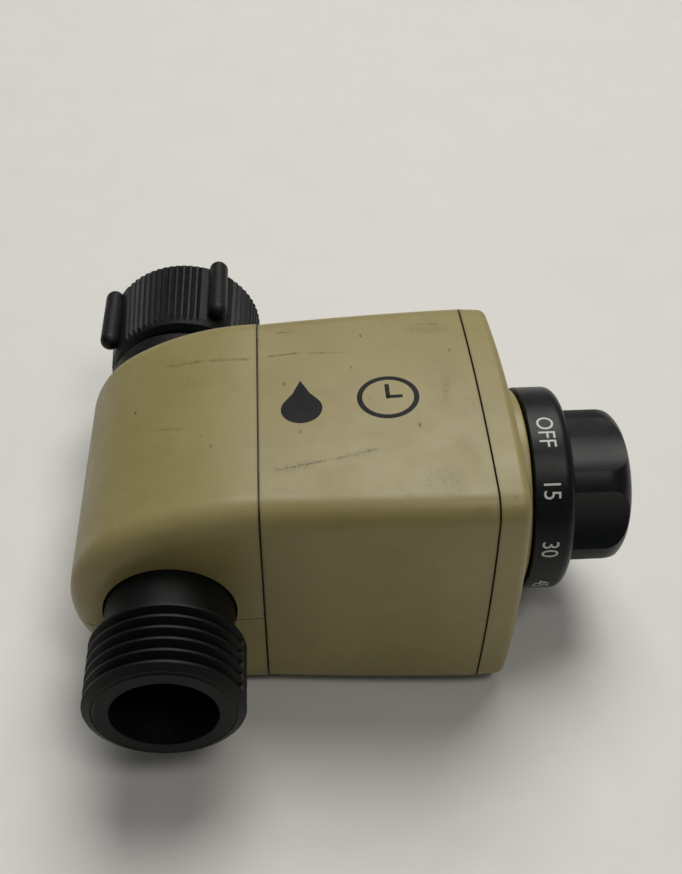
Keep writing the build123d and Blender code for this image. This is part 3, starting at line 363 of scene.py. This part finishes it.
def black_plastic(name, base, dust, low, high, grain=0.1):
    material, tree, shader, where = new_material(name, specular=0.2)
    skin = use_skin(tree, where, base, tuple(c * 0.7 for c in base), Mottle=0.6, Specks=0.0,
                    Gloss_low=low, Gloss_high=high, Grain=grain)
    cover = use_dust(tree, where, skin.outputs["Color"], dust, (0.16, 0.165, 0.15))
    link(tree, cover.outputs["Color"], shader.inputs["Base Color"])
    roughness = math_node(tree, "ADD", skin.outputs["Roughness"],
                          math_node(tree, "MULTIPLY", cover.outputs["Mask"], 0.5))
    link(tree, roughness, shader.inputs["Roughness"])
    link(tree, skin.outputs["Normal"], shader.inputs["Normal"])
    return material


def metal(name, base, shade, low, high):
    material, tree, shader, where = new_material(name)
    shader.inputs["Metallic"].default_value = 1.0
    skin = use_skin(tree, where, base, shade, Mottle=0.7, Specks=0.1, Gloss_low=low,
                    Gloss_high=high, Grain=0.08)
    link(tree, skin.outputs["Color"], shader.inputs["Base Color"])
    link(tree, skin.outputs["Roughness"], shader.inputs["Roughness"])
    link(tree, skin.outputs["Normal"], shader.inputs["Normal"])
    return material


def acetal():
    material, tree, shader, where = new_material("natural_acetal", specular=0.45)
    shader.inputs["Subsurface Weight"].default_value = 0.1
    shader.inputs["Subsurface Radius"].default_value = (0.002, 0.002, 0.0015)
    skin = use_skin(tree, where, (0.74, 0.73, 0.67), (0.66, 0.65, 0.58), Mottle=0.5, Specks=0.05,
                    Gloss_low=0.3, Gloss_high=0.42, Grain=0.06)
    link(tree, skin.outputs["Color"], shader.inputs["Base Color"])
    link(tree, skin.outputs["Roughness"], shader.inputs["Roughness"])
    link(tree, skin.outputs["Normal"], shader.inputs["Normal"])
    return material


def woven_mesh():
    """Fine wire cloth, seen as a close grid of light wires and dark holes."""
    material, tree, shader, where = new_material("filter_mesh")
    split = add_node(tree, "ShaderNodeSeparateXYZ")
    link(tree, where, split.inputs[0])
    pitch = 0.0009
    across = math_node(tree, "PINGPONG", split.outputs["X"], pitch / 2)
    down = math_node(tree, "PINGPONG", split.outputs["Z"], pitch / 2)
    wire = math_node(tree, "SUBTRACT", 1.0, ramp(
        tree, math_node(tree, "MINIMUM", across, down), pitch * 0.12, pitch * 0.2))
    skin = use_skin(tree, where, (0.5, 0.5, 0.48), (0.4, 0.4, 0.38), Mottle=0.6, Specks=0.0,
                    Gloss_low=0.3, Gloss_high=0.5, Grain=0.05)
    colour = mix_colour(tree, wire, (0.02, 0.02, 0.02), skin.outputs["Color"])
    link(tree, colour, shader.inputs["Base Color"])
    link(tree, wire, shader.inputs["Metallic"])
    link(tree, skin.outputs["Roughness"], shader.inputs["Roughness"])
    bump = add_node(tree, "ShaderNodeBump", None, {"Distance": 0.00015, "Strength": 0.7})
    link(tree, wire, bump.inputs["Height"])
    link(tree, bump.outputs["Normal"], shader.inputs["Normal"])
    return material


def printed_ink(name, base, worn, wear):
    """Pad-printed ink, rubbed thin in places."""
    material, tree, shader, where = new_material(name, specular=0.12)
    skin = use_skin(tree, where, base, tuple(c * 0.85 for c in base), Mottle=0.5, Specks=0.05,
                    Gloss_low=0.4, Gloss_high=0.55, Grain=0.05)
    thin = ramp(tree, noise(tree, where, 1500.0, 5.0, 0.7), 0.56, 0.72)
    colour = mix_colour(tree, math_node(tree, "MULTIPLY", thin, wear), skin.outputs["Color"], worn)
    link(tree, colour, shader.inputs["Base Color"])
    link(tree, skin.outputs["Roughness"], shader.inputs["Roughness"])
    link(tree, skin.outputs["Normal"], shader.inputs["Normal"])
    return material


KHAKI = khaki_plastic()
PIPE_BLACK = black_plastic("black_pipe_plastic", (0.0016, 0.0030, 0.0024), 0.03, 0.46, 0.56)
NUT_BLACK = black_plastic("black_nut_plastic", (0.0036, 0.0056, 0.0056), 0.10, 0.38, 0.48)
DIAL_BLACK = black_plastic("black_dial_plastic", (0.0030, 0.0052, 0.0052), 0.06, 0.30, 0.40, 0.05)
RUBBER = black_plastic("sealing_rubber", (0.02, 0.02, 0.02), 0.3, 0.6, 0.75, 0.2)
BRASS = metal("stamped_brass", (0.72, 0.53, 0.24), (0.6, 0.42, 0.18), 0.22, 0.38)
STEEL = metal("drawn_steel", (0.56, 0.56, 0.55), (0.46, 0.46, 0.45), 0.2, 0.36)
ACETAL = acetal()
MESH = woven_mesh()
WHITE_INK = printed_ink("white_ink", (0.62, 0.63, 0.61), (0.03, 0.03, 0.03), 0.5)
DARK_INK = printed_ink("dark_ink", (0.006, 0.007, 0.008), (0.12, 0.10, 0.05), 0.16)

FINISHES = {
    "khaki_shell": KHAKI, "black_plastic": PIPE_BLACK, "dial_black": DIAL_BLACK, "acetal": ACETAL,
    "brass": BRASS, "steel": STEEL, "rubber": RUBBER, "mesh": MESH,
}
SLOT_OF_NODE = {entry["node"]: entry["material_slot"] for entry in frame["record"]["subparts"]}
for name, node in NODES.items():
    finish = NUT_BLACK if name == "swivel_nut" else FINISHES[SLOT_OF_NODE[name]]
    node.data.materials.clear()
    node.data.materials.append(finish)


# ------------------------------------------------------------------ printed pieces

def mesh_piece(name, mesh, material, body):
    piece = bpy.data.objects.new(name, mesh)
    bpy.context.scene.collection.objects.link(piece)
    mesh.materials.append(material)
    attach(piece, body)
    return piece


def slice_mesh(work, axis, low, high, step):
    """Cuts a flat mesh into strips, so that it can follow a curved surface."""
    count = int((high - low) / step) + 1
    for k in range(count + 1):
        at = low + step * k
        normal = Vector((1, 0, 0)) if axis == 0 else Vector((0, 1, 0))
        bmesh.ops.bisect_plane(work, geom=work.verts[:] + work.edges[:] + work.faces[:],
                               plane_co=normal * at, plane_no=normal)


def text_outline(text, height):
    """A flat mesh of the text in millimetres, centred on the origin, with its capitals height tall."""
    curve = bpy.data.curves.new("letters", "FONT")
    curve.body = text
    curve.align_x = "CENTER"
    curve.size = 1.0
    curve.resolution_u = 6
    letters = bpy.data.objects.new("letters", curve)
    bpy.context.scene.collection.objects.link(letters)
    bpy.context.view_layer.update()
    flat = bpy.data.meshes.new_from_object(letters.evaluated_get(bpy.context.evaluated_depsgraph_get()))
    bpy.data.objects.remove(letters)
    bpy.data.curves.remove(curve)
    work = bmesh.new()
    work.from_mesh(flat)
    bpy.data.meshes.remove(flat)
    top = max(v.co.y for v in work.verts)
    low = min(v.co.y for v in work.verts)
    left = min(v.co.x for v in work.verts)
    right = max(v.co.x for v in work.verts)
    scale = height / (top - low)
    for v in work.verts:
        v.co.x = (v.co.x - (left + right) / 2) * scale
        v.co.y = (v.co.y - (top + low) / 2) * scale
        v.co.z = 0
    return work


NUMERAL_HEIGHT = 3.1
NUMERAL_X = 68.5
INK_STAND = 0.03
NUMERAL_NARROWING = 0.86
NUMERAL_COUNT = 8
MINUTES = 15                # from one numeral to the next
DIAL_STRIP = 0.5            # width of the strips that let a numeral follow the rim
MARK_STRIP = 1.0
MINUTES_STEP = 33.3
OFF_ANGLE = 102.7


def print_on_dial(name, text, angle):
    """Wraps a numeral round the dial's rim, its top towards the knob."""
    work = text_outline(text, NUMERAL_HEIGHT)
    for v in work.verts:
        v.co.x *= NUMERAL_NARROWING
    half = max(abs(v.co.x) for v in work.verts)
    slice_mesh(work, 0, -half, half, DIAL_STRIP)
    for v in work.verts:
        turn = math.radians(angle) + v.co.x / DIAL_R
        r = DIAL_R + INK_STAND
        v.co = place(NUMERAL_X + v.co.y, r * math.cos(turn), r * math.sin(turn))
    mesh = bpy.data.meshes.new(name)
    work.to_mesh(mesh)
    work.free()
    return mesh_piece(name, mesh, WHITE_INK, "dial")


print_on_dial("numeral_off", "OFF", OFF_ANGLE)
for k in range(1, NUMERAL_COUNT + 1):
    print_on_dial(f"numeral_{MINUTES * k}", str(MINUTES * k), OFF_ANGLE + MINUTES_STEP * k)


def stroke(work, points, width):
    """A flat ribbon that follows points, given in millimetres."""
    sides = []
    for k, point in enumerate(points):
        before = points[max(k - 1, 0)]
        after = points[min(k + 1, len(points) - 1)]
        way = Vector((after[0] - before[0], after[1] - before[1])).normalized()
        off = Vector((-way.y, way.x)) * width / 2
        sides.append((work.verts.new((point[0] + off.x, point[1] + off.y, 0)),
                      work.verts.new((point[0] - off.x, point[1] - off.y, 0))))
    for (a, b), (c, d) in zip(sides, sides[1:]):
        work.faces.new((a, b, d, c))


def arc(x, y, r, start, end, steps):
    return [(x + r * math.cos(math.radians(start + (end - start) * k / steps)),
             y + r * math.sin(math.radians(start + (end - start) * k / steps))) for k in range(steps + 1)]


def top_mark():
    """A plain pictogram printed on the upper face: a drop of water and a clock."""
    work = bmesh.new()
    drop_x, drop_y, drop_r = 24.3, -1.9, 3.7
    outline = arc(drop_x, drop_y, drop_r, 148, 392, 28)
    outline += [(drop_x + 1.55, drop_y + 4.1), (drop_x, drop_y + 7.6), (drop_x - 1.55, drop_y + 4.1)]
    work.faces.new([work.verts.new((x, y, 0)) for x, y in outline])
    clock_x, clock_y = 39.8, -0.5
    stroke(work, arc(clock_x, clock_y, 5.1, 0, 359.9, 60), 0.95)
    stroke(work, [(clock_x, clock_y - 0.4), (clock_x, clock_y + 3.4)], 0.8)
    stroke(work, [(clock_x - 0.4, clock_y), (clock_x + 2.6, clock_y)], 0.8)
    slice_mesh(work, 0, 20, 46, MARK_STRIP)
    slice_mesh(work, 1, -8, 8, MARK_STRIP)
    casing = CASE_TREES[0]
    down = -UP_AXIS
    for v in work.verts:
        hit = casing.ray_cast(place(v.co.x, v.co.y, ABOVE_CASE_Z), down)[0]
        v.co = hit + UP_AXIS * INK_STAND * MM
    mesh = bpy.data.meshes.new("top_mark")
    work.to_mesh(mesh)
    work.free()
    return mesh_piece("top_mark", mesh, DARK_INK, "timer")


top_mark()


# ------------------------------------------------------------------ table, light and camera

def table():
    """A wide pale sheet, turned up gently far behind."""
    mesh = bpy.data.meshes.new("table_top")
    work = bmesh.new()
    depth = [-1.6, -0.8, -0.3, 0.0, 0.3, 0.8, 1.4, 1.8, 2.1, 2.3]
    lift = [0, 0, 0, 0, 0, 0, 0, 0.08, 0.3, 0.75]
    rows = [[work.verts.new((x, y, z)) for x in (-2.2, -1, 0, 1, 2.2)] for y, z in zip(depth, lift)]
    for lower, upper in zip(rows, rows[1:]):
        for a, b, c, d in zip(lower, lower[1:], upper[1:], upper):
            work.faces.new((a, b, c, d))
    work.to_mesh(mesh)
    work.free()
    for face in mesh.polygons:
        face.use_smooth = True
    top = bpy.data.objects.new("table_top", mesh)
    bpy.context.scene.collection.objects.link(top)
    material, tree, shader, where = new_material("table_laminate", specular=0.3)
    skin = use_skin(tree, where, (0.735, 0.725, 0.692), (0.715, 0.705, 0.668), Mottle=0.8, Specks=0.0,
                    Gloss_low=0.45, Gloss_high=0.6, Grain=0.05)
    link(tree, skin.outputs["Color"], shader.inputs["Base Color"])
    link(tree, skin.outputs["Roughness"], shader.inputs["Roughness"])
    link(tree, skin.outputs["Normal"], shader.inputs["Normal"])
    mesh.materials.append(material)


table()


def soft_light(name, position, target, size, power, colour):
    data = bpy.data.lights.new(name, "AREA")
    data.shape = "DISK"
    data.size = size
    data.energy = power
    data.color = colour
    lamp = bpy.data.objects.new(name, data)
    lamp.location = position
    lamp.rotation_euler = (Vector(target) - Vector(position)).to_track_quat("-Z", "Y").to_euler()
    bpy.context.scene.collection.objects.link(lamp)


soft_light("overhead_lamp", (0.24, -0.34, 0.90), (0, 0, 0), 0.30, 1.6, (1.0, 0.97, 0.92))
soft_light("back_lamp", (0.10, 0.62, 1.20), (0, 0.05, 0), 1.0, 14.5, (1.0, 0.985, 0.95))

world = bpy.data.worlds.new("room")
bpy.context.scene.world = world
world.use_nodes = True
world.node_tree.nodes["Background"].inputs["Color"].default_value = (0.95, 0.96, 1.0, 1)
world.node_tree.nodes["Background"].inputs["Strength"].default_value = 0.10

bpy.context.scene.view_settings.view_transform = "Standard"
bpy.context.scene.view_settings.look = "None"

LENS = 45.93
camera_data = bpy.data.cameras.new("camera")
camera_data.lens = LENS
camera_data.sensor_width = 36.0
camera_data.sensor_fit = "AUTO"
camera_data.shift_x = -0.0069
camera_data.shift_y = 0.0104
camera_data.clip_start = 0.01
camera_data.clip_end = 20.0
camera = bpy.data.objects.new("camera", camera_data)
ahead = heading(0.05483, 0.71462, -0.69736)
right = heading(0.99784, -0.06459, 0.01226)
right = (right - ahead * right.dot(ahead)).normalized()
above = right.cross(ahead)
pose = Matrix((right, above, -ahead)).transposed().to_4x4()
pose.translation = place(21.255, -148.371, 157.800)
camera.matrix_world = pose
bpy.context.scene.collection.objects.link(camera)
bpy.context.scene.camera = camera
